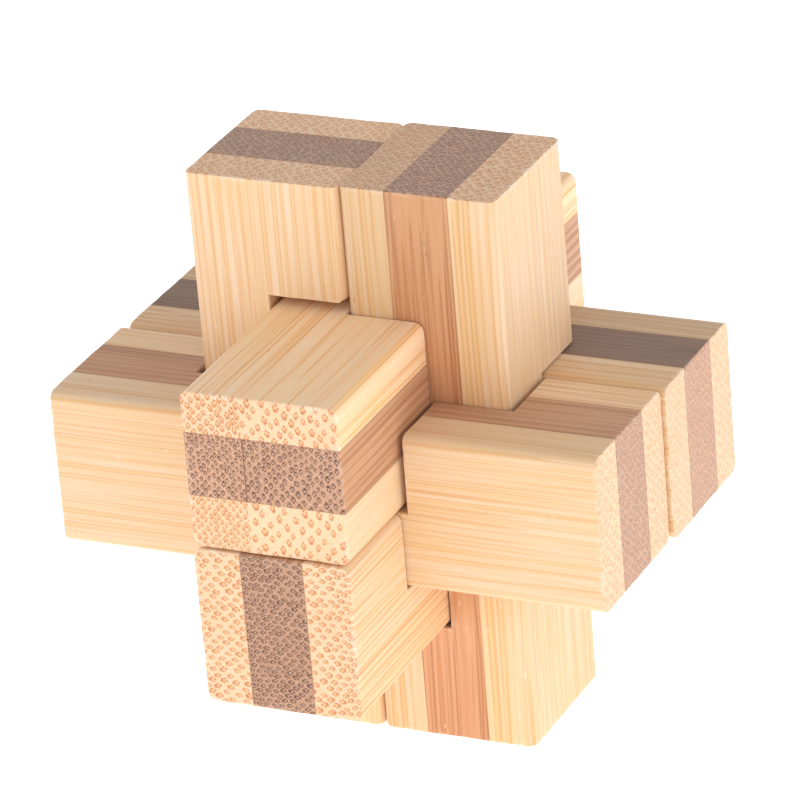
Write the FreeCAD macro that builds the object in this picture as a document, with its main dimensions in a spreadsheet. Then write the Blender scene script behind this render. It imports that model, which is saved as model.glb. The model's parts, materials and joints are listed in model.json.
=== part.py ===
"""Six-piece burr puzzle: six square sticks of laminated bamboo, notched to interlock.

Two uprights run along Z, two crossbars along X and two beams along Y. The pairs cross
at one centre, and each pair lies side by side: the uprights beside each other in X, the
crossbars in Y and the beams in Z. The rear crossbar has no notch. It is the key: it
slides out along X first, and then the others come apart.

Every stick is three bamboo strips glued face to face, a dark core between two light
strips, and the upper beam has a second glue joint along its width. Where a notch cuts
right through a strip, its stumps stay glued to the core as pieces of their own.

Lengths are in millimetres. The origin is on the floor, under the middle of the puzzle:
+X to the right, +Y to the rear, +Z up. Notches are written in lattice units, where one
unit is half the spacing of the sticks and the six-way crossing is the zero.
"""
import FreeCAD, Part
import os
from dataclasses import dataclass, field

doc = FreeCAD.newDocument("burr_puzzle")

# ---------------------------------------------------------------- driving dimensions

CELLS = (
    ("lattice_unit", 7.1, "half the centre spacing of two neighbouring sticks"),
    ("stick_width", 14.1, "planed width of every stick, 0.1 under its two lattice units"),
    ("edge_radius", 0.6, "sanded radius along the four long edges"),
    ("notch_play", 0.4, "extra notch length at each end, so that the sticks pass"),
    ("key_roof_drop", 0.65, "how much lower the roof over the key lies in the right upright"),
    ("notch_ease", 0.05, "extra notch depth past the middle plane"),
    ("face_strip", 4.2, "thickness of a light outer strip"),
    ("upper_core_rise", 0.5, "how far the upper beam's core sits above its middle"),
    ("width_joint", 1.75, "distance of the upper beam's width joint left of its middle"),
    ("upright_length", 50.3, "length of the left upright"),
    ("right_upright_extra", 0.2, "how much taller the right upright stands"),
    ("crossbar_length", 50.0, "length of both crossbars"),
    ("upper_beam_length", 49.6, "length of the upper beam"),
    ("lower_beam_length", 50.2, "length of the lower beam"),
    ("upright_lift", 0.3, "the sticks across hang this low in the uprights' notches"),
    ("set_forward", 0.35, "how far uprights and crossbars stand forward in the beams"),
    ("crossbar_offset", 0.175, "front crossbar reaches further left, key bar further right"),
)


def make_sheet():
    """The spreadsheet that holds every driving dimension under its alias."""
    sheet = doc.addObject("Spreadsheet::Sheet", "Dims")
    for row, (alias, value, meaning) in enumerate(CELLS, start=1):
        sheet.set(f"A{row}", alias)
        sheet.set(f"B{row}", str(value))
        sheet.setAlias(f"B{row}", alias)
        sheet.set(f"C{row}", meaning)
    doc.recompute()
    return sheet


dims = make_sheet()

# The crossing's own place: over the origin, a little forward of the beams' middle.
CROSSING = {
    "x": "0",
    "y": "-Dims.set_forward",
    "z": "Dims.upright_length / 2 - Dims.upright_lift",
}
HALF_WIDTH = "Dims.stick_width / 2"
OVERSHOOT = "1"     # a cutting box passes this far beyond the surface it opens

# ---------------------------------------------------------------- the six sticks


@dataclass
class Stick:
    """One stick: where it lies in the lattice, how it is cut and how it is laminated.

    centre    lattice place of the stick's middle line, (x, y, z)
    ends      expressions for its low and high end along its axis, from its middle
    shift     expression per axis that moves it out of its exact lattice place
    notches   boxes sawn out, each ((x, x), (y, y), (z, z)) in lattice units
    trim      notch number: how much lower that notch's upper end lies
    layers    the axis that its strips are stacked along
    strips    node name: (layer, limits), where the limits cut a strip to one stump
    """
    name: str
    axis: str
    centre: tuple
    ends: tuple
    layers: str
    strips: dict
    shift: dict = field(default_factory=dict)
    notches: tuple = ()
    trim: dict = field(default_factory=dict)
    core_rise: str = "0"


def half_of(length):
    return (f"-Dims.{length} / 2", f"Dims.{length} / 2")


# Limits that pick one stump or one side, as (axis, low, high) in lattice units from the
# crossing, with None where the limit is open.
ABOVE_CROSSING = ("z", 0, None)
BELOW_CROSSING = ("z", None, 0)
FRONT_OF_KEY = ("y", None, 1)
REAR_OF_KEY = ("y", 1, None)
LEFT_OF_NOTCHES = ("x", None, -1.5)
BETWEEN_NOTCHES = ("x", -1.5, 1.5)
RIGHT_OF_NOTCHES = ("x", 1.5, None)
LEFT_OF_JOINT = ("x", None, "joint")
RIGHT_OF_JOINT = ("x", "joint", None)

STICKS = (
    Stick(
        name="left_upright", axis="z", centre=(-1, 0, 0), ends=half_of("upright_length"),
        shift={"z": "Dims.upright_lift"}, layers="y",
        notches=(
            ((-1, 0), (-1, 1), (-2, 2)),
            ((-2, 0), (0, 1), (-1, 1)),
        ),
        strips={
            "front_strip": ("low", ()),
            "core_strip": ("core", ()),
            "rear_strip_upper": ("high", (ABOVE_CROSSING,)),
            "rear_strip_lower": ("high", (BELOW_CROSSING,)),
        },
    ),
    Stick(
        name="right_upright", axis="z", centre=(1, 0, 0),
        ends=("-Dims.upright_length / 2", "Dims.upright_length / 2 + Dims.right_upright_extra"),
        shift={"z": "Dims.upright_lift"}, layers="x",
        notches=(
            ((0, 1), (-1, 1), (-2, 0)),
            ((0, 2), (0, 1), (-1, 1)),
        ),
        trim={2: "Dims.key_roof_drop"},
        strips={
            "left_strip_upper": ("low", (("z", -1, None),)),
            "left_strip_lower": ("low", (("z", None, -1),)),
            "core_strip": ("core", ()),
            "right_strip": ("high", ()),
        },
    ),
    Stick(
        name="front_crossbar", axis="x", centre=(0, -1, 0),
        ends=(
            "-Dims.crossbar_length / 2 - Dims.crossbar_offset",
            "Dims.crossbar_length / 2 - Dims.crossbar_offset",
        ),
        layers="y",
        notches=(
            ((-2, -1), (-1, 0), (-1, 1)),
            ((1, 2), (-1, 0), (-1, 1)),
            ((-1, 1), (-2, 0), (0, 1)),
        ),
        strips={
            "front_strip": ("low", ()),
            "core_strip": ("core", ()),
            "rear_strip_left": ("high", (LEFT_OF_NOTCHES,)),
            "rear_strip_middle": ("high", (BETWEEN_NOTCHES,)),
            "rear_strip_right": ("high", (RIGHT_OF_NOTCHES,)),
        },
    ),
    Stick(
        name="key_bar", axis="x", centre=(0, 1, 0), ends=half_of("crossbar_length"),
        shift={"x": "Dims.crossbar_offset"}, layers="y",
        strips={
            "front_strip": ("low", ()),
            "core_strip": ("core", ()),
            "rear_strip": ("high", ()),
        },
    ),
    Stick(
        name="upper_beam", axis="y", centre=(0, 0, 1), ends=half_of("upper_beam_length"),
        shift={"y": "Dims.set_forward"}, layers="z", core_rise="Dims.upper_core_rise",
        notches=(
            ((0, 1), (-1, 1), (0, 2)),
            ((-1, 1), (0, 2), (0, 1)),
        ),
        strips={
            "bottom_strip_left_front": ("low", (LEFT_OF_JOINT, FRONT_OF_KEY)),
            "bottom_strip_left_rear": ("low", (LEFT_OF_JOINT, REAR_OF_KEY)),
            "bottom_strip_right_front": ("low", (RIGHT_OF_JOINT, FRONT_OF_KEY)),
            "bottom_strip_right_rear": ("low", (RIGHT_OF_JOINT, REAR_OF_KEY)),
            "core_strip_left": ("core", (LEFT_OF_JOINT,)),
            "core_strip_right": ("core", (RIGHT_OF_JOINT,)),
            "top_strip_left": ("high", (LEFT_OF_JOINT,)),
            "top_strip_right": ("high", (RIGHT_OF_JOINT,)),
        },
    ),
    Stick(
        name="lower_beam", axis="y", centre=(0, 0, -1), ends=half_of("lower_beam_length"),
        shift={"y": "Dims.set_forward"}, layers="x",
        notches=(
            ((-1, 1), (-2, 2), (-1, 0)),
        ),
        strips={
            "left_strip": ("low", ()),
            "core_strip": ("core", ()),
            "right_strip": ("high", ()),
        },
    ),
)

# ---------------------------------------------------------------- building one stick

SIDES = {"x": "Length", "y": "Width", "z": "Height"}


def bind_box(box, spans):
    """Bind a box's place and size to the expressions of its low and high bounds."""
    for axis, (low, high) in spans.items():
        box.setExpression(f"Placement.Base.{axis}", low)
        box.setExpression(SIDES[axis], f"({high}) - ({low})")


def lattice(stick, axis, place):
    """Expression for a lattice place, measured from the stick's own middle."""
    centre = stick.centre["xyz".index(axis)]
    return f"{place - centre} * Dims.lattice_unit"


def bar_spans(stick):
    """Bounds of the plain square bar, from its own middle."""
    spans = {axis: (f"-{HALF_WIDTH}", HALF_WIDTH) for axis in "xyz"}
    spans[stick.axis] = stick.ends
    return spans


def notch_spans(stick, number, notch):
    """Bounds of one cutting box.

    Along the stick the notch gets its play. Across the stick it either runs out through
    a face, a whole unit from the middle line, or stops just past the middle plane.
    """
    spans = {}
    for axis, (low, high), centre in zip("xyz", notch, stick.centre):
        low_place = lattice(stick, axis, low)
        high_place = lattice(stick, axis, high)
        if axis == stick.axis:
            drop = stick.trim.get(number, "0")
            spans[axis] = (
                f"{low_place} - Dims.notch_play",
                f"{high_place} + Dims.notch_play - {drop}",
            )
            continue
        low_margin = OVERSHOOT if low < centre else "Dims.notch_ease"
        high_margin = OVERSHOOT if high > centre else "Dims.notch_ease"
        spans[axis] = (f"{low_place} - {low_margin}", f"{high_place} + {high_margin}")
    return spans


def long_edges(shape, axis):
    """Names of the four edges that run along the given axis."""
    names = []
    for number, edge in enumerate(shape.Edges, start=1):
        run = edge.Vertexes[1].Point - edge.Vertexes[0].Point
        if abs(getattr(run, axis)) > run.Length * 0.99:
            names.append(f"Edge{number}")
    return names


def make_stick(stick):
    """The whole stick: a square bar with rounded long edges, then its saw notches."""
    body = doc.addObject("PartDesign::Body", stick.name)
    bar = body.newObject("PartDesign::AdditiveBox", f"{stick.name}_bar")
    bind_box(bar, bar_spans(stick))
    doc.recompute()
    rounding = body.newObject("PartDesign::Fillet", f"{stick.name}_rounded_edges")
    rounding.Base = (bar, long_edges(bar.Shape, stick.axis))
    rounding.setExpression("Radius", "Dims.edge_radius")
    doc.recompute()
    for number, notch in enumerate(stick.notches, start=1):
        cutter = body.newObject("PartDesign::SubtractiveBox", f"{stick.name}_notch_{number}")
        bind_box(cutter, notch_spans(stick, number, notch))
        doc.recompute()
    return body


# ---------------------------------------------------------------- strips of one stick


def layer_spans(stick, layer):
    """Bounds of a layer along the stacking axis."""
    core_half = f"({HALF_WIDTH} - Dims.face_strip)"
    core_low = f"{stick.core_rise} - {core_half}"
    core_high = f"{stick.core_rise} + {core_half}"
    return {
        "low": (f"-{HALF_WIDTH} - {OVERSHOOT}", core_low),
        "core": (core_low, core_high),
        "high": (core_high, f"{HALF_WIDTH} + {OVERSHOOT}"),
    }[layer]


def limit_place(stick, axis, place):
    """Expression for one limit: a lattice place, or the joint across the width."""
    if place == "joint":
        return "-Dims.width_joint"
    return lattice(stick, axis, place)


def strip_spans(stick, layer, limits):
    """Bounds of the box that picks one strip, or one stump of it, out of the stick."""
    spans = {}
    for axis, (low, high) in bar_spans(stick).items():
        spans[axis] = (f"{low} - {OVERSHOOT}", f"{high} + {OVERSHOOT}")
    spans[stick.layers] = layer_spans(stick, layer)
    for axis, low, high in limits:
        low_bound, high_bound = spans[axis]
        if low is not None:
            low_bound = limit_place(stick, axis, low)
        if high is not None:
            high_bound = limit_place(stick, axis, high)
        spans[axis] = (low_bound, high_bound)
    return spans


def make_strip(stick, body, strip, layer, limits):
    """One bamboo strip: the part of the notched stick that lies in its layer."""
    label = f"{stick.name}_{strip}"
    layer_box = doc.addObject("Part::Box", f"{label}_layer")
    bind_box(layer_box, strip_spans(stick, layer, limits))
    node = doc.addObject("Part::Common", label)
    node.Base = body
    node.Tool = layer_box
    node.Label = label
    for axis, centre in zip("xyz", stick.centre):
        shift = stick.shift.get(axis, "0")
        place = f"{CROSSING[axis]} + {centre} * Dims.lattice_unit + {shift}"
        node.setExpression(f"Placement.Base.{axis}", place)
    return node


def make_strips(stick, body):
    return [make_strip(stick, body, strip, *how) for strip, how in stick.strips.items()]


# ---------------------------------------------------------------- checks and export

VOLUME_TOLERANCE = 0.01     # mm^3


def check_document():
    for thing in doc.Objects:
        failed = {"Invalid", "Error"} & set(thing.State)
        assert not failed, f"{thing.Label} is {failed}"


def check_stick(stick, body, nodes):
    """Each strip is one sound solid, and together the strips fill the stick."""
    for node in nodes:
        assert not node.Shape.isNull(), f"{node.Label} is empty"
        assert node.Shape.isValid(), f"{node.Label} is not valid"
        assert len(node.Shape.Solids) == 1, f"{node.Label} is not one solid"
    filled = sum(node.Shape.Volume for node in nodes)
    assert abs(filled - body.Shape.Volume) < VOLUME_TOLERANCE, f"{stick.name} is not filled"


def main():
    built = []
    for stick in STICKS:
        body = make_stick(stick)
        built.append((stick, body, make_strips(stick, body)))
    doc.recompute()
    check_document()
    for stick, body, nodes in built:
        check_stick(stick, body, nodes)
    os.makedirs("parts", exist_ok=True)
    for stick, body, nodes in built:
        for node in nodes:
            node.Shape.exportStep(f"parts/{node.Label}.step")
        print(f"{stick.name}: {len(nodes)} strips, {body.Shape.Volume:.1f} mm3")


main()
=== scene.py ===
"""Blender scene of the six-piece bamboo burr puzzle.

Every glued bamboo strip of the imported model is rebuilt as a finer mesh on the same
planes: long edges rounded, sawn edges worn, planed faces very slightly wavy. The
bamboo itself is procedural. Fibre bundles run along each strip, so the same pattern
gives the lobed dots on sawn ends and the long streaks on planed faces.
"""
import json
import math
import random

import bpy
import numpy as np
from mathutils import Matrix, Vector, noise
from mathutils.bvhtree import BVHTree


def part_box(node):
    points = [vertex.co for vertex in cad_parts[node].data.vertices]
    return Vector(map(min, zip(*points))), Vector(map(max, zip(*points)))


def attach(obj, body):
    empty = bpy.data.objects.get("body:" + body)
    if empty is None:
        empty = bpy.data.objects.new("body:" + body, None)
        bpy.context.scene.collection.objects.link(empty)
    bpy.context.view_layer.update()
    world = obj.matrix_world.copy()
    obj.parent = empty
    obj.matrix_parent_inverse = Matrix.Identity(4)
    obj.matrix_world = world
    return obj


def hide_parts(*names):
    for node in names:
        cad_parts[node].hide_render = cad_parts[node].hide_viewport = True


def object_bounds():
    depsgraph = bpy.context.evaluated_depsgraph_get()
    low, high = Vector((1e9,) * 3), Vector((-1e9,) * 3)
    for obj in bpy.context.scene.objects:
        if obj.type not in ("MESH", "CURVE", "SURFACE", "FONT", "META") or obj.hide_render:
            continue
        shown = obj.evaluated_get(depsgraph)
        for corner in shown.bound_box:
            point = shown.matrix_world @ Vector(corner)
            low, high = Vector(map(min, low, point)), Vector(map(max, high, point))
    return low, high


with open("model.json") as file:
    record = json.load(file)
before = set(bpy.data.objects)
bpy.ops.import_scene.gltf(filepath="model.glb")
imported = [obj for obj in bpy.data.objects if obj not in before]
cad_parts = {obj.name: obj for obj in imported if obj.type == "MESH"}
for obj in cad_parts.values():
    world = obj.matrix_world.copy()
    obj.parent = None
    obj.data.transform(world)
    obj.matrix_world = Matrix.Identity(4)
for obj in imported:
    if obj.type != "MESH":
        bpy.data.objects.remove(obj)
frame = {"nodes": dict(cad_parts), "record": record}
cad_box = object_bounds()

MM = 0.001
X, Y, Z = 0, 1, 2

# ---------------------------------------------------------------- sticks and strips

# Per stick: the axis it runs along and the axis its strips are stacked along.
STICKS = {
    "left_upright": (Z, Y),
    "right_upright": (Z, X),
    "front_crossbar": (X, Y),
    "key_bar": (X, Y),
    "upper_beam": (Y, Z),
    "lower_beam": (Y, X),
}

# Per glued strip:
#   spacing   distance between fibre bundles, in mm
#   girth     size of a bundle, 1 for about 0.55 by 0.75 mm
#   skin      +1 if the skin of the culm was towards the strip's high side, else -1
#   crowding  how strongly the bundles close up towards the skin
#   end       brightness of the sawn ends, 1 for usual
#   long      brightness of the planed faces; the key bar's low values are painted shade
#   lines     strength of the streaks on the planed faces
# A strip that a notch has cut apart is one entry.
STRIPS = {
    "left_upright_front_strip": (0.70, 0.95, -1, 0.25, 0.96, 0.98, 0.66),
    "left_upright_core_strip": (0.56, 0.80, 1, 0.35, 0.95, 0.95, 0.80),
    "left_upright_rear_strip": (0.68, 0.95, 1, 0.30, 1.00, 1.00, 0.80),
    "right_upright_left_strip": (0.62, 0.90, -1, 0.25, 0.82, 0.88, 0.85),
    "right_upright_core_strip": (0.56, 0.80, 1, 0.30, 1.00, 1.00, 0.80),
    "right_upright_right_strip": (0.74, 1.00, 1, 0.40, 0.96, 0.94, 0.80),
    "front_crossbar_front_strip": (0.78, 1.00, -1, 0.35, 0.97, 0.92, 0.66),
    "front_crossbar_core_strip": (0.58, 0.80, 1, 0.30, 1.06, 0.90, 0.95),
    "front_crossbar_rear_strip": (0.70, 0.95, 1, 0.35, 0.96, 1.00, 0.95),
    # The key bar's low brightness on its planed faces is painted shade, for the shade it lies in
    # behind the crossbar.
    "key_bar_front_strip": (0.68, 0.95, -1, 0.30, 0.95, 0.88, 0.95),
    "key_bar_core_strip": (0.55, 0.75, -1, 0.35, 1.14, 0.34, 0.80),
    "key_bar_rear_strip": (0.74, 1.00, 1, 0.30, 0.95, 0.72, 0.90),
    "upper_beam_bottom_strip_left": (0.52, 0.72, -1, 0.15, 0.97, 0.97, 0.90),
    "upper_beam_bottom_strip_right": (1.02, 1.05, -1, 0.22, 1.00, 1.00, 0.95),
    "upper_beam_core_strip_left": (0.56, 0.75, 1, 0.35, 1.10, 1.00, 0.90),
    "upper_beam_core_strip_right": (0.66, 0.85, 1, 0.35, 1.04, 0.96, 1.00),
    "upper_beam_top_strip_left": (0.70, 1.00, -1, 0.22, 0.95, 1.16, 1.25),
    "upper_beam_top_strip_right": (0.88, 1.00, -1, 0.18, 0.96, 1.16, 1.25),
    "lower_beam_left_strip": (0.76, 0.98, -1, 0.15, 0.96, 1.00, 0.90),
    "lower_beam_core_strip": (0.62, 0.85, -1, 0.40, 0.95, 0.95, 0.90),
    "lower_beam_right_strip": (0.80, 1.00, 1, 0.45, 0.96, 0.98, 1.25),
}


def strip_of(node):
    """The glued strip that a node is, or was cut from."""
    return next(name for name in STRIPS if node.startswith(name))


def is_core(node):
    """Whether a node is dark, carbonised bamboo. The others are natural bamboo."""
    return "core_strip" in node


def third_axis(first, second):
    """The axis that is neither of the two."""
    return X + Y + Z - first - second


def other_axes(axis):
    """The two axes besides this one, in order."""
    return [other for other in (X, Y, Z) if other != axis]


# ---------------------------------------------------------------- strip meshes

# Mesh lines.
FINE_STEP = 0.42 * MM       # spacing across a stick
LONG_STEP = 0.50 * MM       # spacing along a stick
EDGE_STEPS = (0.14, 0.32, 0.58, 1.0)    # lines across a rounded edge, in edge radii
SAWN_STEPS = (0.06, 0.14, 0.26, 0.45, 0.75)     # lines beside a sawn plane, in mm
BESIDE_SHARE = 0.45         # they stay within this share of the gap to the next plane
PLANE_TOLERANCE = 0.01 * MM     # planes closer than this are one plane
SQUARE_NORMAL = 0.9999      # a face square to an axis has a normal this far along it
SHARP_ANGLE = 50            # degrees between two faces from which their edge is shaded sharp

# Shape of the edges and faces.
EDGE_RADIUS = 0.8 * MM      # sanded long edges, a little rounder than the CAD's 0.6 mm
EDGE_REACH = 1.4 * EDGE_RADIUS      # points deeper than this below an edge stay put
SAWN_RADIUS = 0.12 * MM     # usual wear of a sawn edge
SAWN_RADIUS_RANGE = (0.05 * MM, 0.35 * MM)
ROUGH_SIZE = 1.5 * MM       # length of the small changes of wear along a sawn edge
BRUISE_SIZE = 3.4 * MM      # length of the deeper bruises on it
WEAR_REACH = 0.45 * MM      # how far the pale, frayed look reaches from a sawn edge
PLANED_WAVE = (0.014 * MM, 5.0 * MM)    # depth and size of the waves in planed faces
SAWN_WAVE = (0.045 * MM, 1.7 * MM)      # the same for sawn faces
NOISE_STEP = (13.7, 7.3, 3.1)   # how far each seed moves the noise, in noise sizes

# The test for a point inside a mesh. The ray is slanted, to miss edges and flat faces.
RAY = Vector((0.577, 0.431, 0.693)).normalized()
RAY_NUDGE = 1e-7            # step past each crossing
MOST_CROSSINGS = 64

# Outer notch lips worn much rounder than the rest: the axis they run along, the radius.
SOFT_LIPS = {"left_upright": (Y, 0.75 * MM)}


def axis_planes(mesh, axis):
    """Places along an axis where the mesh has flat faces square to that axis."""
    places = []
    for face in mesh.polygons:
        if abs(face.normal[axis]) > SQUARE_NORMAL:
            places.append(face.center[axis])
    return places


def merged(places):
    """Sorted places with near duplicates joined."""
    kept = []
    for place in sorted(places):
        if not kept or place - kept[-1] > PLANE_TOLERANCE:
            kept.append(place)
    return kept


def grid_lines(planes, step, beside):
    """Mesh lines that hold every plane, some lines beside each, and an even filling."""
    lines = list(planes)
    for low, high in zip(planes, planes[1:]):
        for offset in beside:
            if offset < (high - low) * BESIDE_SHARE:
                lines += [low + offset, high - offset]
    lines = merged(lines)
    filled = [lines[0]]
    for low, high in zip(lines, lines[1:]):
        parts = max(1, round((high - low) / step))
        filled += [low + (high - low) * part / parts for part in range(1, parts + 1)]
    return np.array(filled)


def is_inside(tree, point):
    """Whether a closed mesh holds the point.

    It does where a ray from the point crosses the mesh an odd number of times.
    """
    crossings = 0
    start = point
    for _ in range(MOST_CROSSINGS):
        hit = tree.ray_cast(start, RAY)[0]
        if hit is None:
            break
        crossings += 1
        start = hit + RAY * RAY_NUDGE
    return crossings % 2 == 1


def cell_owners(nodes, planes):
    """Which node fills each coarse cell between the planes, or -1 for none."""
    trees = []
    for name in nodes:
        mesh = frame["nodes"][name].data
        points = [vertex.co for vertex in mesh.vertices]
        faces = [tuple(face.vertices) for face in mesh.polygons]
        trees.append(BVHTree.FromPolygons(points, faces))
    middles = [[(low + high) / 2 for low, high in zip(places, places[1:])] for places in planes]
    cells = np.full([len(places) for places in middles], -1)
    for i, x in enumerate(middles[X]):
        for j, y in enumerate(middles[Y]):
            for k, z in enumerate(middles[Z]):
                for number, tree in enumerate(trees):
                    if is_inside(tree, Vector((x, y, z))):
                        cells[i, j, k] = number
    return cells


def outward_ways(filled):
    """Per grid point: how many of its eight cells are filled, and which way is out.

    The way out is a whole-number vector. Its parts are 0 where there is no clear side.
    """
    padded = np.pad(filled.astype(int), 1)
    shape = [n + 1 for n in filled.shape]
    count = np.zeros(shape, int)
    outward = np.zeros(shape + [3], int)
    for di in (0, 1):
        for dj in (0, 1):
            for dk in (0, 1):
                part = padded[di:di + shape[0], dj:dj + shape[1], dk:dk + shape[2]]
                count += part
                direction = np.array([di, dj, dk]) * 2 - 1
                outward -= part[..., None] * direction
    return count, outward


def convex_edges(filled):
    """Outer edges of the coarse cells, one entry for each line and solid quadrant.

    An entry is (axis, first, second, side_first, side_second, segments). The edge runs
    along axis, through those planes of the two other axes. A side is 1 where the solid
    lies above the plane, 0 below. Segments marks the coarse cells it runs beside.
    """
    padded = np.pad(filled, 1)
    for axis in (X, Y, Z):
        cells = np.moveaxis(padded, axis, 0)[1:-1]
        for first in range(cells.shape[1] - 1):
            for second in range(cells.shape[2] - 1):
                around = cells[:, first:first + 2, second:second + 2]
                single = around.sum(axis=(1, 2)) == 1
                for side_first in (0, 1):
                    for side_second in (0, 1):
                        segments = around[:, side_first, side_second] & single
                        if segments.any():
                            yield axis, first, second, side_first, side_second, segments


def smooth_noise(points, scale, seed):
    """Soft noise in -1..1 at each point, with features of about the given size."""
    values = np.empty(len(points))
    shift = Vector([seed * step for step in NOISE_STEP])
    for number, point in enumerate(points):
        values[number] = noise.noise(Vector(point) / scale + shift)
    return values


def arc_shift(first, second, radius):
    """How far a square corner's points move in to lie on an arc.

    First and second are a point's depths below the corner's two faces.
    """
    a = np.maximum(radius - first, 0)
    b = np.maximum(radius - second, 0)
    inside = (a > 0) & (b > 0)
    reach = np.where(inside, np.maximum(a, b), 1)
    angle_a = np.where(a >= b, math.pi / 2 - b / reach * math.pi / 4, a / reach * math.pi / 4)
    new_a = reach * np.sin(angle_a)
    new_b = reach * np.cos(angle_a)
    return np.where(inside, a - new_a, 0), np.where(inside, b - new_b, 0)


class StickMesh:
    """One stick's fine grid: its displaced points, and which strip fills each cell."""

    def __init__(self, stick, seed):
        self.stick = stick
        self.seed = seed
        self.axis = STICKS[stick][0]
        self.nodes = sorted(frame["record"]["behaviour"]["bodies"][stick])
        self.planes = []
        for axis in (X, Y, Z):
            places = []
            for name in self.nodes:
                places += axis_planes(frame["nodes"][name].data, axis)
            self.planes.append(merged(places))
        owners = cell_owners(self.nodes, self.planes)
        self.lines = []
        pick = []
        for axis in (X, Y, Z):
            beside = [EDGE_RADIUS * step for step in EDGE_STEPS]
            step = FINE_STEP
            if axis == self.axis:
                beside = [offset * MM for offset in SAWN_STEPS]
                step = LONG_STEP
            lines = grid_lines(self.planes[axis], step, beside)
            self.lines.append(lines)
            middles = (lines[1:] + lines[:-1]) / 2
            pick.append(np.searchsorted(self.planes[axis], middles) - 1)
        self.cells = owners[np.ix_(*pick)]
        self.grid = np.stack(np.meshgrid(*self.lines, indexing="ij"), axis=-1)
        self.wear = np.zeros([n + 1 for n in self.cells.shape])
        self.shift = np.zeros(self.grid.shape)
        self.roll_edges(owners >= 0)
        self.add_waves()
        self.points = self.grid + self.shift

    def is_long_edge(self, axis, first, second, others):
        """Whether the edge is one of the four sanded edges along the stick."""
        if axis != self.axis:
            return False
        rim_first = first in (0, len(self.planes[others[0]]) - 1)
        rim_second = second in (0, len(self.planes[others[1]]) - 1)
        return rim_first and rim_second

    def is_soft_lip(self, axis, first, second, others):
        """Whether the edge is a notch lip on an outer face that has been worn round."""
        if self.stick not in SOFT_LIPS or axis != SOFT_LIPS[self.stick][0]:
            return False
        which = others.index(self.axis)
        on_end = (first, second)[which] in (0, len(self.planes[self.axis]) - 1)
        on_rim = (second, first)[which] in (0, len(self.planes[others[1 - which]]) - 1)
        return on_rim and not on_end

    def roll_edges(self, filled):
        """Round the long edges, wear the sawn ones and mark what is near a sawn one."""
        for axis, first, second, side_first, side_second, segments in convex_edges(filled):
            others = other_axes(axis)
            planes = [self.planes[others[0]], self.planes[others[1]]]
            long_edge = self.is_long_edge(axis, first, second, others)
            along = self.marked_lines(axis, segments)
            places = self.lines[axis][along]
            radius = np.full(len(places), EDGE_RADIUS)
            if self.is_soft_lip(axis, first, second, others):
                radius = np.full(len(places), SOFT_LIPS[self.stick][1])
            elif not long_edge:
                radius = self.sawn_radius(axis, places, planes[0][first], planes[1][second])
            signs = [1 if side else -1 for side in (side_first, side_second)]
            depths = [(self.lines[others[0]] - planes[0][first]) * signs[0],
                      (self.lines[others[1]] - planes[1][second]) * signs[1]]
            near = []
            for depth in depths:
                near.append(np.flatnonzero((depth > -PLANE_TOLERANCE / 2) & (depth < EDGE_REACH)))
            box = np.ix_(along, near[0], near[1])
            one = depths[0][near[0]][None, :, None]
            two = depths[1][near[1]][None, None, :]
            move_one, move_two = arc_shift(one, two, radius[:, None, None])
            shift = np.moveaxis(self.shift, axis, 0)
            shift[(*box, np.full((1, 1, 1), others[0]))] += move_one * signs[0]
            shift[(*box, np.full((1, 1, 1), others[1]))] += move_two * signs[1]
            if not long_edge:
                wear = np.moveaxis(self.wear, axis, 0)
                distance = np.sqrt(np.maximum(one, 0) ** 2 + np.maximum(two, 0) ** 2)
                fresh = np.clip(1 - distance / WEAR_REACH, 0, 1)
                wear[box] = np.maximum(wear[box], fresh)

    def marked_lines(self, axis, segments):
        """Numbers of the mesh lines that the marked coarse cells span."""
        lines = self.lines[axis]
        marked = np.zeros(len(lines), bool)
        for number in np.flatnonzero(segments):
            low = self.planes[axis][number] - PLANE_TOLERANCE / 2
            high = self.planes[axis][number + 1] + PLANE_TOLERANCE / 2
            marked |= (lines > low) & (lines < high)
        return np.flatnonzero(marked)

    def sawn_radius(self, axis, places, first, second):
        """Wear radius along a sawn edge: rough, with a few deeper bruises."""
        others = other_axes(axis)
        points = np.zeros((len(places), 3))
        points[:, axis] = places
        points[:, others[0]] = first
        points[:, others[1]] = second
        rough = smooth_noise(points, ROUGH_SIZE, self.seed)
        bruises = smooth_noise(points, BRUISE_SIZE, self.seed + 5)
        radius = SAWN_RADIUS * (1 + 0.6 * rough + 1.5 * np.maximum(bruises, 0))
        return np.clip(radius, *SAWN_RADIUS_RANGE)

    def add_waves(self):
        """Make sawn faces a little uneven and planed faces very slightly wavy.

        Waves only go into the wood, so the stick keeps its outer size.
        """
        count, outward = outward_ways(self.cells >= 0)
        surface = (count > 0) & (count < 8)
        points = self.grid[surface]
        planed_depth, planed_size = PLANED_WAVE
        sawn_depth, sawn_size = SAWN_WAVE
        planed_wave = (smooth_noise(points, planed_size, self.seed + 9) - 1) / 2
        sawn_wave = (smooth_noise(points, sawn_size, self.seed + 3) - 1) / 2
        for axis in (X, Y, Z):
            place = points[:, axis]
            from_low = np.abs(place - self.planes[axis][0])
            from_high = np.abs(place - self.planes[axis][-1])
            planed = np.minimum(from_low, from_high) < PLANE_TOLERANCE
            planed &= axis != self.axis
            depth = np.where(planed, planed_depth * planed_wave, sawn_depth * sawn_wave)
            self.shift[surface, axis] += np.sign(outward[surface][:, axis]) * depth

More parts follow.
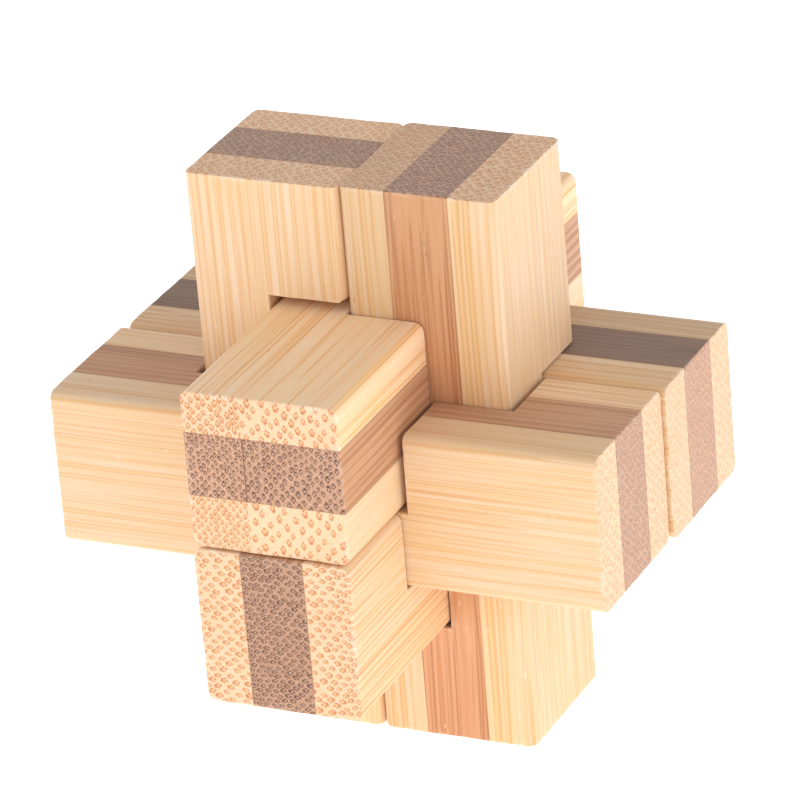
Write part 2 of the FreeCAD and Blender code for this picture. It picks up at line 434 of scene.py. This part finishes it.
    def strip_mesh(self, number):
        """The closed quad surface round the cells that one strip fills."""
        mine = np.pad(self.cells == number, 1)
        quads = []
        for axis in (X, Y, Z):
            others = other_axes(axis)
            step = np.diff(mine.astype(int), axis=axis)
            for sign in (1, -1):
                first = np.argwhere(step == sign) - 1
                first[:, axis] += 1
                corners = [first.copy() for _ in range(4)]
                corners[1][:, others[0]] += 1
                corners[2][:, others[0]] += 1
                corners[2][:, others[1]] += 1
                corners[3][:, others[1]] += 1
                turned = (sign == 1) != (axis == Y)
                order = (0, 3, 2, 1) if turned else (0, 1, 2, 3)
                quads.append(np.stack([corners[c] for c in order], axis=1))
        quads = np.concatenate(quads)
        flat = np.ravel_multi_index(quads.reshape(-1, 3).T, self.points.shape[:3])
        used, index = np.unique(flat, return_inverse=True)
        points = self.points.reshape(-1, 3)[used]
        wear = self.wear.reshape(-1)[used]
        return points, index.reshape(-1, 4), wear


def build_strip(stick_mesh, number):
    """Make one strip's object, in place of its CAD node."""
    node = stick_mesh.nodes[number]
    points, quads, wear = stick_mesh.strip_mesh(number)
    mesh = bpy.data.meshes.new(node + "_bamboo")
    mesh.from_pydata(points.tolist(), [], quads.tolist())
    attribute = mesh.attributes.new("wear", "FLOAT", "POINT")
    attribute.data.foreach_set("value", wear.astype(np.float32))
    mesh.validate()
    mesh.shade_smooth()
    mesh.set_sharp_from_angle(angle=math.radians(SHARP_ANGLE))
    piece = bpy.data.objects.new(node + "_bamboo", mesh)
    bpy.context.scene.collection.objects.link(piece)
    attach(piece, stick_mesh.stick)
    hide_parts(node)
    return piece


# ---------------------------------------------------------------- node graph helper


def linear(red, green, blue, tone=1.0):
    """An sRGB colour, 0 to 255, as the linear colour that shaders take."""
    def channel(value):
        value /= 255
        return value / 12.92 if value <= 0.04045 else ((value + 0.055) / 1.055) ** 2.4
    return (channel(red) * tone, channel(green) * tone, channel(blue) * tone, 1.0)


class Graph:
    """Short calls for building a node tree. Values may be numbers or sockets."""

    def __init__(self, tree):
        self.tree = tree

    def node(self, kind, **settings):
        made = self.tree.nodes.new(kind)
        for name, value in settings.items():
            setattr(made, name, value)
        return made

    def feed(self, socket, value):
        if isinstance(value, bpy.types.NodeSocket):
            self.tree.links.new(value, socket)
        elif value is not None:
            socket.default_value = value

    def math(self, operation, first, second=None, third=None):
        made = self.node("ShaderNodeMath", operation=operation)
        for socket, value in zip(made.inputs, (first, second, third)):
            self.feed(socket, value)
        return made.outputs[0]

    def times(self, first, second):
        return self.math("MULTIPLY", first, second)

    def swing(self, value, reach):
        """A value in 0..1 as an offset in -reach..reach."""
        return self.math("MULTIPLY_ADD", value, 2 * reach, -reach)

    def ramp(self, value, low, high, start=0.0, end=1.0):
        """Smoothly from start to end as the value goes from low to high."""
        made = self.node("ShaderNodeMapRange", interpolation_type="SMOOTHSTEP")
        for socket, number in zip(made.inputs, (value, low, high, start, end)):
            self.feed(socket, number)
        return made.outputs[0]

    def mix(self, factor, first, second):
        """Colour between two colours: the first at factor 0, the second at 1."""
        made = self.node("ShaderNodeMix", data_type="RGBA")
        self.feed(made.inputs["Factor"], factor)
        self.feed(made.inputs[6], first)
        self.feed(made.inputs[7], second)
        return made.outputs[2]

    def blend(self, factor, first, second):
        """The same for plain values."""
        made = self.node("ShaderNodeMix", data_type="FLOAT")
        for socket, value in zip(made.inputs, (factor, None, first, second)):
            self.feed(socket, value)
        return made.outputs[0]

    def join(self, x, y, z=0.0):
        made = self.node("ShaderNodeCombineXYZ")
        for socket, value in zip(made.inputs, (x, y, z)):
            self.feed(socket, value)
        return made.outputs[0]

    def scaled(self, place, x, y, z):
        """A place vector with each part scaled."""
        made = self.node("ShaderNodeVectorMath", operation="MULTIPLY")
        self.feed(made.inputs[0], place)
        made.inputs[1].default_value = (x, y, z)
        return made.outputs[0]

    def split(self, vector):
        made = self.node("ShaderNodeSeparateXYZ")
        self.feed(made.inputs[0], vector)
        return made.outputs

    def noise(self, place, counts, detail=2.0, roughness=0.5):
        """Noise in 0..1. Counts are features per unit of place, one for each part."""
        made = self.node("ShaderNodeTexNoise")
        self.feed(made.inputs["Vector"], self.scaled(place, *counts))
        made.inputs["Scale"].default_value = 1.0
        made.inputs["Detail"].default_value = detail
        made.inputs["Roughness"].default_value = roughness
        return made.outputs["Fac"]


# ---------------------------------------------------------------- bamboo pattern

HALF_WIDTH = 0.185      # of a bundle's ring at girth 1, in mm
HALF_DEPTH = 0.245
ROW_GAP = 1.12          # distance between rows of bundles, in spacings
CLOSEST = 0.2           # rows close up to no less than this share of that distance
DIAGONAL = 0.7071       # turns the lattice by 45 degrees

BUNDLE_INPUTS = (
    ("Across", 0.0),
    ("Through", 0.0),
    ("Along", 0.0),
    ("Spacing", 0.7),
    ("Girth", 1.0),
    ("Crowding", 0.3),
    ("Thickness", 4.2),
)


def bundle_group():
    """Node group: fibre bundles in a strip's own millimetres.

    Across and Through are the place in the cross-section, Along the place on the
    length. Bundles sit on a diagonal lattice that closes up towards the skin side.
    Sheath is the bundle's dark fibre, a heavy arc on the skin side and three smaller
    lobes. Core is its pale middle, Body all of it blurred, and Pick a random number.
    """
    group = bpy.data.node_groups.new("bamboo_bundles", "ShaderNodeTree")
    for name, value in BUNDLE_INPUTS:
        socket = group.interface.new_socket(
            name=name, in_out="INPUT", socket_type="NodeSocketFloat")
        socket.default_value = value
    for name in ("Sheath", "Core", "Body", "Pick"):
        group.interface.new_socket(
            name=name, in_out="OUTPUT", socket_type="NodeSocketFloat")
    g = Graph(group)
    given = g.node("NodeGroupInput").outputs
    across, through, along = given["Across"], given["Through"], given["Along"]
    spacing, girth = given["Spacing"], given["Girth"]

    # Bundles run almost straight. They sit unevenly across the strip.
    place = g.join(across, through, along)
    wander = g.swing(g.noise(place, (0.10, 0.10, 0.035), 1.0), 0.45)
    sink = g.swing(g.noise(place, (0.13, 0.13, 0.04), 1.0), 0.45)
    uneven = g.swing(g.noise(place, (0.33, 0.33, 0.004), 1.0), 0.25)
    across = g.math("ADD", across, g.math("ADD", wander, uneven))
    through = g.math("ADD", through, sink)

    # Row number through the strip: the rows close up towards the skin side.
    closeness = g.times(g.math("DIVIDE", through, given["Thickness"]), given["Crowding"])
    local = g.math("MAXIMUM", g.math("SUBTRACT", 1.0, closeness), CLOSEST)
    log = g.math("LOGARITHM", local, math.e)
    steepness = g.times(g.times(spacing, given["Crowding"]), -ROW_GAP)
    row = g.times(log, g.math("DIVIDE", given["Thickness"], steepness))
    column = g.math("DIVIDE", across, spacing)
    turned = g.join(g.times(g.math("ADD", column, row), DIAGONAL),
                    g.times(g.math("SUBTRACT", row, column), DIAGONAL))

    cells = g.node("ShaderNodeTexVoronoi", voronoi_dimensions="2D", feature="F1")
    cells.inputs["Scale"].default_value = 1.0
    cells.inputs["Randomness"].default_value = 0.32
    g.feed(cells.inputs["Vector"], turned)
    middle = g.split(cells.outputs["Position"])
    here = g.split(turned)
    picks = g.node("ShaderNodeSeparateColor")
    g.feed(picks.inputs[0], cells.outputs["Color"])
    pick = picks.outputs[0]

    # Offset from the bundle's middle in bundle sizes, turned a little at random.
    off_one = g.math("SUBTRACT", here[0], middle[0])
    off_two = g.math("SUBTRACT", here[1], middle[1])
    size = g.times(girth, g.math("MULTIPLY_ADD", pick, 0.24, 0.88))
    size = g.times(size, g.math("MULTIPLY_ADD", local, 0.35, 0.68))
    to_across = g.math("DIVIDE", g.times(spacing, DIAGONAL / HALF_WIDTH), size)
    row_step = g.times(g.times(spacing, local), DIAGONAL * ROW_GAP / HALF_DEPTH)
    to_through = g.math("DIVIDE", row_step, size)
    u = g.times(g.math("SUBTRACT", off_one, off_two), to_across)
    v = g.times(g.math("ADD", off_one, off_two), to_through)
    lean = g.swing(picks.outputs[1], 0.45)
    u_turned = g.math("ADD", u, g.times(v, lean))
    v_turned = g.math("SUBTRACT", v, g.times(u, lean))
    squares = g.math("ADD", g.times(u_turned, u_turned), g.times(v_turned, v_turned))
    radius = g.math("SQRT", squares)
    safe = g.math("MAXIMUM", radius, 0.05)
    towards = g.math("DIVIDE", v_turned, safe)
    sideways = g.math("ABSOLUTE", g.math("DIVIDE", u_turned, safe))

    # Four lobes round a pale middle, the skin-side one the heaviest. A faint ring joins them.
    heavy = g.ramp(towards, 0.35, 0.90)
    far = g.ramp(towards, -0.80, -0.95)
    side = g.ramp(sideways, 0.80, 0.95, 0.0, 0.92)
    lobes = g.math("MAXIMUM", heavy, g.math("MAXIMUM", far, side))
    lobes = g.math("MAXIMUM", lobes, 0.12)
    width = g.math("MULTIPLY_ADD", heavy, 0.22, 0.46)
    off_ring = g.math("DIVIDE", g.math("ABSOLUTE", g.math("SUBTRACT", radius, 1.0)), width)
    band = g.ramp(off_ring, 0.35, 1.25, 1.0, 0.0)
    sheath = g.times(band, lobes)
    core = g.ramp(radius, 0.15, 0.60, 1.0, 0.0)
    body = g.ramp(radius, 0.3, 1.7, 1.0, 0.0)

    out = g.node("NodeGroupOutput")
    for name, value in (("Sheath", sheath), ("Core", core), ("Body", body), ("Pick", pick)):
        g.feed(out.inputs[name], value)
    return group


# Colours of the two bamboos, for sawn ends and for planed long grain.
LIGHT = {
    "end": (246, 208, 168),
    "end_sheath": (204, 124, 70),
    "end_core": (240, 188, 118),
    "end_rim": (232, 172, 116),
    "long": (242, 207, 166),
    "long_body": (238, 189, 114),
    "long_sheath": (222, 154, 80),
    "long_pale": (249, 226, 204),
    "edge": (252, 238, 222),
    "glue": (182, 124, 84),
}
DARK = {
    "end": (205, 156, 124),
    "end_sheath": (88, 54, 40),
    "end_core": (200, 160, 132),
    "end_rim": (158, 104, 78),
    "long": (214, 158, 114),
    "long_body": (186, 118, 68),
    "long_sheath": (148, 88, 48),
    "long_pale": (226, 178, 138),
    "edge": (232, 204, 182),
    "glue": (112, 70, 48),
}

# Glue lines: their strength between layers, and in the joint across one core's width.
LAYER_GLUE = 0.40
WIDTH_GLUE = 0.85
WIDTH_JOINT = "upper_beam_core_strip"
GLUE_FADE = (0.015, 0.09)       # a line fades out between these distances, in mm

PATTERN_START = (100, 300)      # range in mm for the seeded start of a strip's pattern

# How strongly the bundles show on a stick's sawn ends. Below 1 is painted sheen: the bundles are
# faded on the ends seen at a glancing angle, standing in for the pale reflection of the bright
# floor.
PAINTED_SHEEN_FADE = {"front_crossbar": 0.50, "key_bar": 0.40, "left_upright": 0.75, "right_upright": 0.85}


def seams_of(node, stick):
    """Glued planes of a strip: (axis, place, strength) for each."""
    axis, layers = STICKS[stick]
    low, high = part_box(node)
    boxes = [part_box(name) for name in frame["record"]["behaviour"]["bodies"][stick]]
    seams = []
    for place in (low[layers], high[layers]):
        rims = (min(b[0][layers] for b in boxes), max(b[1][layers] for b in boxes))
        if min(abs(place - rim) for rim in rims) > PLANE_TOLERANCE:
            seams.append((layers, place, LAYER_GLUE))
    if node.startswith(WIDTH_JOINT):
        across = third_axis(axis, layers)
        inner = high if node.endswith("left") else low
        seams.append((across, inner[across], WIDTH_GLUE))
    return seams


def bamboo_material(node, stick, bundles):
    """Material of one strip: where it sits in its stick, and its own bundle pattern."""
    axis, layers = STICKS[stick]
    across_axis = third_axis(axis, layers)
    strip = strip_of(node)
    spacing, girth, skin, crowding, end_tone, long_tone_and_shade, lines = STRIPS[strip]
    palette = DARK if is_core(node) else LIGHT
    colour = {}
    for name, value in palette.items():
        colour[name] = linear(*value, end_tone if name.startswith("end") else long_tone_and_shade)
    rng = random.Random(strip)
    low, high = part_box(node)

    material = bpy.data.materials.new(node + "_bamboo")
    material.use_nodes = True
    material.node_tree.nodes.clear()
    g = Graph(material.node_tree)
    coordinates = g.node("ShaderNodeTexCoord")
    place = g.split(coordinates.outputs["Object"])
    facing = g.split(coordinates.outputs["Normal"])

    # The strip's own millimetres, with a seeded start so that no two strips match.
    base = low[layers] if skin > 0 else high[layers]
    across = g.math("MULTIPLY_ADD", place[across_axis], 1 / MM, rng.uniform(*PATTERN_START))
    through = g.math("MULTIPLY_ADD", place[layers], skin / MM, -skin * base / MM)
    along = g.math("MULTIPLY_ADD", place[axis], 1 / MM, rng.uniform(*PATTERN_START))
    own = g.join(across, through, along)

    pattern = g.node("ShaderNodeGroup", node_tree=bundles)
    for name, value in (("Across", across), ("Through", through), ("Along", along),
                        ("Spacing", spacing), ("Girth", girth), ("Crowding", crowding),
                        ("Thickness", (high[layers] - low[layers]) / MM)):
        g.feed(pattern.inputs[name], value)
    sheath, core = pattern.outputs["Sheath"], pattern.outputs["Core"]
    body, pick = pattern.outputs["Body"], pattern.outputs["Pick"]

    # Finer and broader structure, drawn out along the strip, but for the even grit.
    fibres = g.noise(own, (5.5, 5.5, 0.12), 3.0, 0.65)
    bands = g.noise(own, (0.75, 0.75, 0.035))
    pales = g.noise(own, (1.5, 1.5, 0.05))
    clouds = g.noise(own, (0.16, 0.16, 0.07))
    grit = g.noise(own, (7.0, 7.0, 7.0))

    # Sawn end grain.
    strength = g.math("MULTIPLY_ADD", pick, 0.25, 0.75)
    # Painted sheen: the bundles are faded on some sticks' sawn ends.
    shown = PAINTED_SHEEN_FADE.get(stick, 1.0)
    end = g.mix(g.times(body, 0.45 * shown), colour["end"], colour["end_rim"])
    end = g.mix(g.times(core, 0.80), end, colour["end_core"])
    end = g.mix(g.times(sheath, g.times(strength, shown)), end, colour["end_sheath"])
    mottle = 0.30 if palette is DARK else 0.14
    end = g.mix(g.ramp(grit, 0.38, 0.66, 0.0, mottle), end, colour["end_sheath"])
    specks = g.noise(own, (5.0, 5.0, 5.0), 1.0)
    end = g.mix(g.ramp(specks, 0.60, 0.72, 0.0, mottle * 1.5), end, colour["edge"])
    end = g.mix(g.ramp(clouds, 0.35, 0.75, 0.0, 0.18), end, colour["end_rim"])

    # Planed long grain.
    streak = g.times(body, g.ramp(bands, 0.30, 0.68, 0.08 * lines, 0.60 * lines))
    planed = g.mix(g.ramp(pales, 0.46, 0.72, 0.0, 0.45), colour["long"], colour["long_pale"])
    planed = g.mix(streak, planed, colour["long_body"])
    line_strength = g.ramp(bands, 0.25, 0.60, 0.20 * lines, 0.70 * lines)
    line = g.times(g.times(sheath, strength), line_strength)
    planed = g.mix(line, planed, colour["long_sheath"])
    planed = g.mix(g.ramp(fibres, 0.46, 0.78, 0.0, 0.35), planed, colour["long_body"])
    planed = g.mix(g.ramp(clouds, 0.35, 0.75, 0.0, 0.25), planed, colour["long_body"])

    end_facing = g.ramp(g.math("ABSOLUTE", facing[axis]), 0.45, 0.80)
    shade = g.mix(end_facing, planed, end)

    # Sparse pale specks and short dark pores on the planed faces.
    spots = g.node("ShaderNodeTexVoronoi", voronoi_dimensions="3D", feature="F1")
    spots.inputs["Scale"].default_value = 1.0
    g.feed(spots.inputs["Vector"], g.scaled(own, 0.85, 0.85, 0.30))
    chances = g.node("ShaderNodeSeparateColor")
    g.feed(chances.inputs[0], spots.outputs["Color"])
    dot = g.ramp(spots.outputs["Distance"], 0.05, 0.11, 1.0, 0.0)
    planed_only = g.math("SUBTRACT", 1.0, end_facing)
    pale_dot = g.times(g.times(dot, g.ramp(chances.outputs[0], 0.78, 0.98)), planed_only)
    shade = g.mix(g.times(pale_dot, 0.55), shade, colour["edge"])
    dark_dot = g.times(g.times(dot, g.ramp(chances.outputs[1], 0.80, 0.84)), planed_only)
    shade = g.mix(g.times(dark_dot, 0.60), shade, colour["long_sheath"])

    # Glue lines between the strips.
    for seam_axis, seam_place, seam_strength in seams_of(node, stick):
        offset = g.math("MULTIPLY_ADD", place[seam_axis], 1 / MM, -seam_place / MM)
        near_seam = g.ramp(g.math("ABSOLUTE", offset), *GLUE_FADE, 1.0, 0.0)
        shade = g.mix(g.times(near_seam, seam_strength), shade, colour["glue"])

    # Frayed, paler fibres along the sawn edges.
    wear = g.node("ShaderNodeAttribute", attribute_name="wear").outputs["Fac"]
    tufts = g.noise(own, (1.1, 1.1, 1.1), 3.0, 0.6)
    frayed = g.times(wear, g.ramp(tufts, 0.44, 0.70, 0.0, 0.60))
    shade = g.mix(frayed, shade, colour["edge"])

    # Relief: bundles stand a little proud of the sawn end, fibres run along the faces.
    end_height = g.math("MULTIPLY_ADD", sheath, 0.12, g.times(grit, 0.5))
    long_height = g.math("MULTIPLY_ADD", streak, -0.20, g.times(fibres, 0.5))
    height = g.blend(end_facing, long_height, end_height)
    bump = g.node("ShaderNodeBump")
    bump.inputs["Strength"].default_value = 0.5
    bump.inputs["Distance"].default_value = 0.03 * MM
    g.feed(bump.inputs["Height"], height)

    rough = g.math("MULTIPLY_ADD", fibres, 0.20, 0.40)
    shader = g.node("ShaderNodeBsdfPrincipled")
    g.feed(shader.inputs["Base Color"], shade)
    g.feed(shader.inputs["Roughness"], g.math("MULTIPLY_ADD", end_facing, 0.10, rough))
    g.feed(shader.inputs["Normal"], bump.outputs["Normal"])
    shader.inputs["Sheen Weight"].default_value = 0.25
    output = g.node("ShaderNodeOutputMaterial")
    g.feed(output.inputs["Surface"], shader.outputs["BSDF"])
    return material


# ---------------------------------------------------------------- build the sticks

bundles = bundle_group()
for seed, stick in enumerate(STICKS):
    stick_mesh = StickMesh(stick, seed)
    for number, node in enumerate(stick_mesh.nodes):
        piece = build_strip(stick_mesh, number)
        piece.data.materials.append(bamboo_material(node, stick, bundles))

# ---------------------------------------------------------------- stage, light, camera

low, high = Vector(cad_box[0]), Vector(cad_box[1])
centre = (low + high) / 2
size = max(high - low)

FLOOR_SPAN = 60             # width of the floor, in puzzle widths
FLOOR_GLOW = 0.95           # emission strength
WORLD_GLOW = (1.0, 0.55)    # strength at the horizon and overhead
CAMERA_LENS = 262.2         # mm
CAMERA_SENSOR = 36          # mm
CAMERA_AIM = Vector((0.00007, 0.00090, 0.02720))
CAMERA_AZIMUTH = 26.48      # degrees
CAMERA_ELEVATION = 25.08
CAMERA_ROLL = -4.87
CAMERA_DISTANCE = 0.495


def direction(azimuth, elevation):
    """Unit vector from the puzzle; azimuth 0 is in front (-Y), and +90 is at +X."""
    a, e = math.radians(azimuth), math.radians(elevation)
    return Vector((math.sin(a) * math.cos(e), -math.cos(a) * math.cos(e), math.sin(e)))


def make_floor():
    """A plain pale table top that glows, so that it reads white."""
    bpy.ops.mesh.primitive_plane_add(size=size * FLOOR_SPAN, location=(0, 0, low.z))
    floor = bpy.context.active_object
    floor.name = "floor"
    material = bpy.data.materials.new("pale_floor")
    material.use_nodes = True
    shader = material.node_tree.nodes["Principled BSDF"]
    shader.inputs["Base Color"].default_value = (0.85, 0.85, 0.85, 1)
    shader.inputs["Roughness"].default_value = 0.9
    shader.inputs["Specular IOR Level"].default_value = 0.1
    shader.inputs["Emission Color"].default_value = (1, 1, 1, 1)
    shader.inputs["Emission Strength"].default_value = FLOOR_GLOW
    floor.data.materials.append(material)


def make_world():
    """A soft white room: bright round the horizon, dimmer overhead."""
    world = bpy.data.worlds.new("soft_room")
    bpy.context.scene.world = world
    world.use_nodes = True
    world.node_tree.nodes.clear()
    g = Graph(world.node_tree)
    up = g.split(g.node("ShaderNodeTexCoord").outputs["Generated"])[2]
    strength = g.ramp(up, 0.0, 0.9, *WORLD_GLOW)
    background = g.node("ShaderNodeBackground")
    background.inputs["Color"].default_value = (1, 1, 1, 1)
    g.feed(background.inputs["Strength"], strength)
    output = g.node("ShaderNodeOutputWorld")
    g.feed(output.inputs["Surface"], background.outputs[0])


def make_light(name, azimuth, elevation, distance, width, power):
    """A square soft light aimed at the puzzle's middle, placed by angles as the camera is.

    Distance and width are in metres, power in watts.
    """
    data = bpy.data.lights.new(name, "AREA")
    data.size = width
    data.energy = power
    light = bpy.data.objects.new(name, data)
    bpy.context.scene.collection.objects.link(light)
    light.location = centre + direction(azimuth, elevation) * distance
    aim = centre - light.location
    light.rotation_euler = aim.to_track_quat("-Z", "Y").to_euler()


def make_camera():
    """The photograph's view: long lens, from the front right, tipped by a few degrees."""
    data = bpy.data.cameras.new("camera")
    data.lens = CAMERA_LENS
    data.sensor_width = CAMERA_SENSOR
    data.clip_start = 0.01
    data.clip_end = 20
    camera = bpy.data.objects.new("camera", data)
    bpy.context.scene.collection.objects.link(camera)
    toward = direction(CAMERA_AZIMUTH, CAMERA_ELEVATION)
    level = (-toward).to_track_quat("-Z", "Y").to_matrix().to_4x4()
    roll = Matrix.Rotation(math.radians(CAMERA_ROLL), 4, "Z")
    place = CAMERA_AIM + toward * CAMERA_DISTANCE
    camera.matrix_world = Matrix.Translation(place) @ level @ roll
    bpy.context.scene.camera = camera


make_floor()
make_world()
make_light("front_softbox", azimuth=5, elevation=20, distance=0.9, width=0.7, power=0.8)
make_light("right_softbox", azimuth=80, elevation=15, distance=0.9, width=0.6, power=1.1)
make_camera()
bpy.context.scene.view_settings.view_transform = "Standard"
